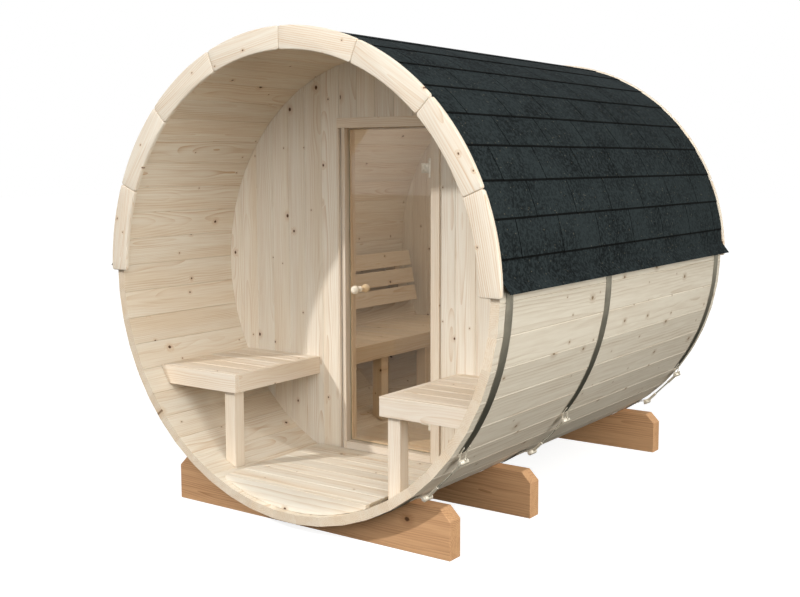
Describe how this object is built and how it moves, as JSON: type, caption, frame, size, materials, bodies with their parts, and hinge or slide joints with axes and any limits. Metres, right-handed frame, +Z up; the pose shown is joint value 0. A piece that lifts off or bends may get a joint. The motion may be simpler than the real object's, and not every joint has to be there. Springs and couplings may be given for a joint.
{
  "type": "barrel sauna",
  "caption": "Barrel-shaped outdoor sauna of wooden staves on cradles, with an open porch, benches inside and out, a framed glass door and a shingled upper half.",
  "frame": {"origin": "on the ground, under the middle of the barrel", "axes": "+X to the right seen from the porch, +Y from the porch to the rear wall, +Z up"},
  "size_m": [2.09, 2.3006, 2.0599],
  "materials": {
    "stave_wood": "planed spruce, untreated, matt",
    "cabin_wood": "planed spruce, untreated, matt",
    "trim_wood": "planed pale spruce, matt",
    "cradle_wood": "sawn pine, impregnated, matt",
    "shingle": "dark grey mineral granules on bitumen felt",
    "band_steel": "dull grey steel strap",
    "zinc_steel": "bright zinc plated",
    "bronze_glass": "toughened, bronze tint, clear"
  },
  "bodies": {
    "barrel": {"barrel_wall_01": "stave_wood", "barrel_wall_02": "stave_wood", "barrel_wall_03": "stave_wood", "barrel_wall_04": "stave_wood", "barrel_wall_05": "stave_wood", "barrel_wall_06": "stave_wood", "barrel_wall_07": "stave_wood", "barrel_wall_08": "stave_wood", "barrel_wall_09": "stave_wood", "barrel_wall_10": "stave_wood", "partition_left": "stave_wood", "partition_right": "stave_wood", "partition_over_door": "stave_wood", "partition_under_door": "stave_wood", "rear_wall": "stave_wood", "door_jamb_left": "stave_wood", "door_jamb_right": "stave_wood", "door_head": "stave_wood", "door_threshold": "stave_wood", "porch_floor": "stave_wood", "porch_floor_front": "stave_wood", "porch_bench_left": "stave_wood", "porch_bench_right": "stave_wood", "cabin_floor": "cabin_wood", "cabin_bench_left": "cabin_wood", "cabin_bench_right": "cabin_wood", "backrest_left": "cabin_wood", "backrest_right": "cabin_wood", "trim_front_left": "trim_wood", "trim_front_right": "trim_wood", "trim_rear_left": "trim_wood", "trim_rear_right": "trim_wood", "cradle_front": "cradle_wood", "cradle_middle": "cradle_wood", "cradle_rear": "cradle_wood", "roof_left": "shingle", "roof_right": "shingle", "band_front": "band_steel", "band_middle": "band_steel", "band_rear": "band_steel", "tensioner_front": "zinc_steel", "tensioner_middle": "zinc_steel", "tensioner_rear": "zinc_steel", "hinge_leaf_upper": "zinc_steel", "hinge_leaf_lower": "zinc_steel"},
    "door": {"door_glass": "bronze_glass", "door_knob": "trim_wood", "hinge_clamp_upper": "zinc_steel", "hinge_clamp_lower": "zinc_steel"}
  },
  "joints": [
    {"name": "door_hinge", "type": "hinge", "parent": "barrel", "child": "door", "pos_m": [0.2385, -0.428, 0.94803], "axis": [0, 0, 1], "range_deg": [0, 90]}
  ]
}
